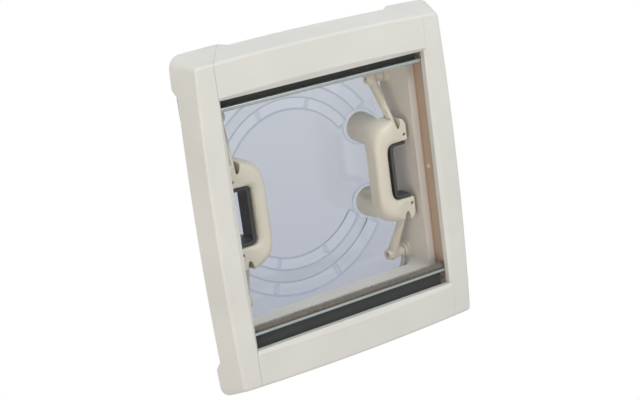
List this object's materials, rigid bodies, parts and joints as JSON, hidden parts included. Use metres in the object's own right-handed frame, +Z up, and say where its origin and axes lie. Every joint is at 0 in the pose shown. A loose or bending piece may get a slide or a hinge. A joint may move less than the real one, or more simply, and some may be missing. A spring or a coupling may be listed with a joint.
{
  "type": "camper roof hatch",
  "caption": "Square camper roof hatch with a clear double dome on lift struts, grip handles, a roof frame and a ceiling frame with roller blinds.",
  "frame": {"origin": "middle of the opening, on the ceiling frame's room-side face", "axes": "+Z up through the roof to the sky, +X from left handle to right handle, +Y from front blind to rear blind"},
  "size_m": [0.372, 0.422, 0.135],
  "materials": {
    "frame_plastic": "satin moulded plastic, off-white",
    "handle_plastic": "satin moulded plastic, cream",
    "trigger_plastic": "fine-textured charcoal plastic",
    "clear_pane": "clear acrylic, faint blue tint",
    "seal_rubber": "black sealing rubber",
    "blind_fabric": "dark blackout cloth",
    "screen_fabric": "dark insect mesh",
    "bar_aluminium": "satin anodised aluminium",
    "brush_pile": "grey-brown brush pile"
  },
  "bodies": {
    "frame": {"outer_frame": "frame_plastic", "dome_seal": "seal_rubber", "clamp_frame": "frame_plastic", "left_side_rail": "frame_plastic", "right_side_rail": "frame_plastic", "front_blind_cover": "frame_plastic", "rear_blind_cover": "frame_plastic", "front_blind_roll": "blind_fabric", "rear_blind_roll": "screen_fabric", "front_blind_fabric": "blind_fabric", "rear_blind_fabric": "screen_fabric", "front_pull_bar": "bar_aluminium", "rear_pull_bar": "bar_aluminium", "rear_bar_brush": "brush_pile", "front_left_collar": "handle_plastic", "front_right_collar": "handle_plastic", "rear_left_collar": "handle_plastic", "rear_right_collar": "handle_plastic"},
    "dome": {"outer_dome": "clear_pane", "inner_pane": "clear_pane", "left_handle": "handle_plastic", "right_handle": "handle_plastic"},
    "left_trigger": {"left_trigger": "trigger_plastic"},
    "right_trigger": {"right_trigger": "trigger_plastic"},
    "front_left_strut": {"front_left_strut": "handle_plastic"},
    "front_right_strut": {"front_right_strut": "handle_plastic"},
    "rear_left_strut": {"rear_left_strut": "handle_plastic"},
    "rear_right_strut": {"rear_right_strut": "handle_plastic"}
  },
  "joints": [
    {"name": "dome_lift", "type": "slide", "parent": "frame", "child": "dome", "axis": [0, 0, 1], "range_m": [0, 0.055]},
    {"name": "left_trigger_slide", "type": "slide", "parent": "dome", "child": "left_trigger", "axis": [1, 0, 0], "range_m": [0, 0.0025], "stiffness_N_per_m": 500, "springref_m": -0.003},
    {"name": "right_trigger_slide", "type": "slide", "parent": "dome", "child": "right_trigger", "axis": [-1, 0, 0], "range_m": [0, 0.0025], "stiffness_N_per_m": 500, "springref_m": -0.003},
    {"name": "front_left_strut_pivot", "type": "hinge", "parent": "frame", "child": "front_left_strut", "pos_m": [-0.12, -0.118, 0.08], "axis": [1, 0, 0], "range_deg": [0, 45]},
    {"name": "front_right_strut_pivot", "type": "hinge", "parent": "frame", "child": "front_right_strut", "pos_m": [0.12, -0.118, 0.08], "axis": [1, 0, 0], "range_deg": [0, 45]},
    {"name": "rear_left_strut_pivot", "type": "hinge", "parent": "frame", "child": "rear_left_strut", "pos_m": [-0.12, 0.118, 0.08], "axis": [-1, 0, 0], "range_deg": [0, 45]},
    {"name": "rear_right_strut_pivot", "type": "hinge", "parent": "frame", "child": "rear_right_strut", "pos_m": [0.12, 0.118, 0.08], "axis": [-1, 0, 0], "range_deg": [0, 45]}
  ],
  "couplings": [
    {"joint": "front_left_strut_pivot", "follows": "dome_lift", "rad_per_m": 14.05},
    {"joint": "front_right_strut_pivot", "follows": "dome_lift", "rad_per_m": 14.05},
    {"joint": "rear_left_strut_pivot", "follows": "dome_lift", "rad_per_m": 14.05},
    {"joint": "rear_right_strut_pivot", "follows": "dome_lift", "rad_per_m": 14.05}
  ]
}
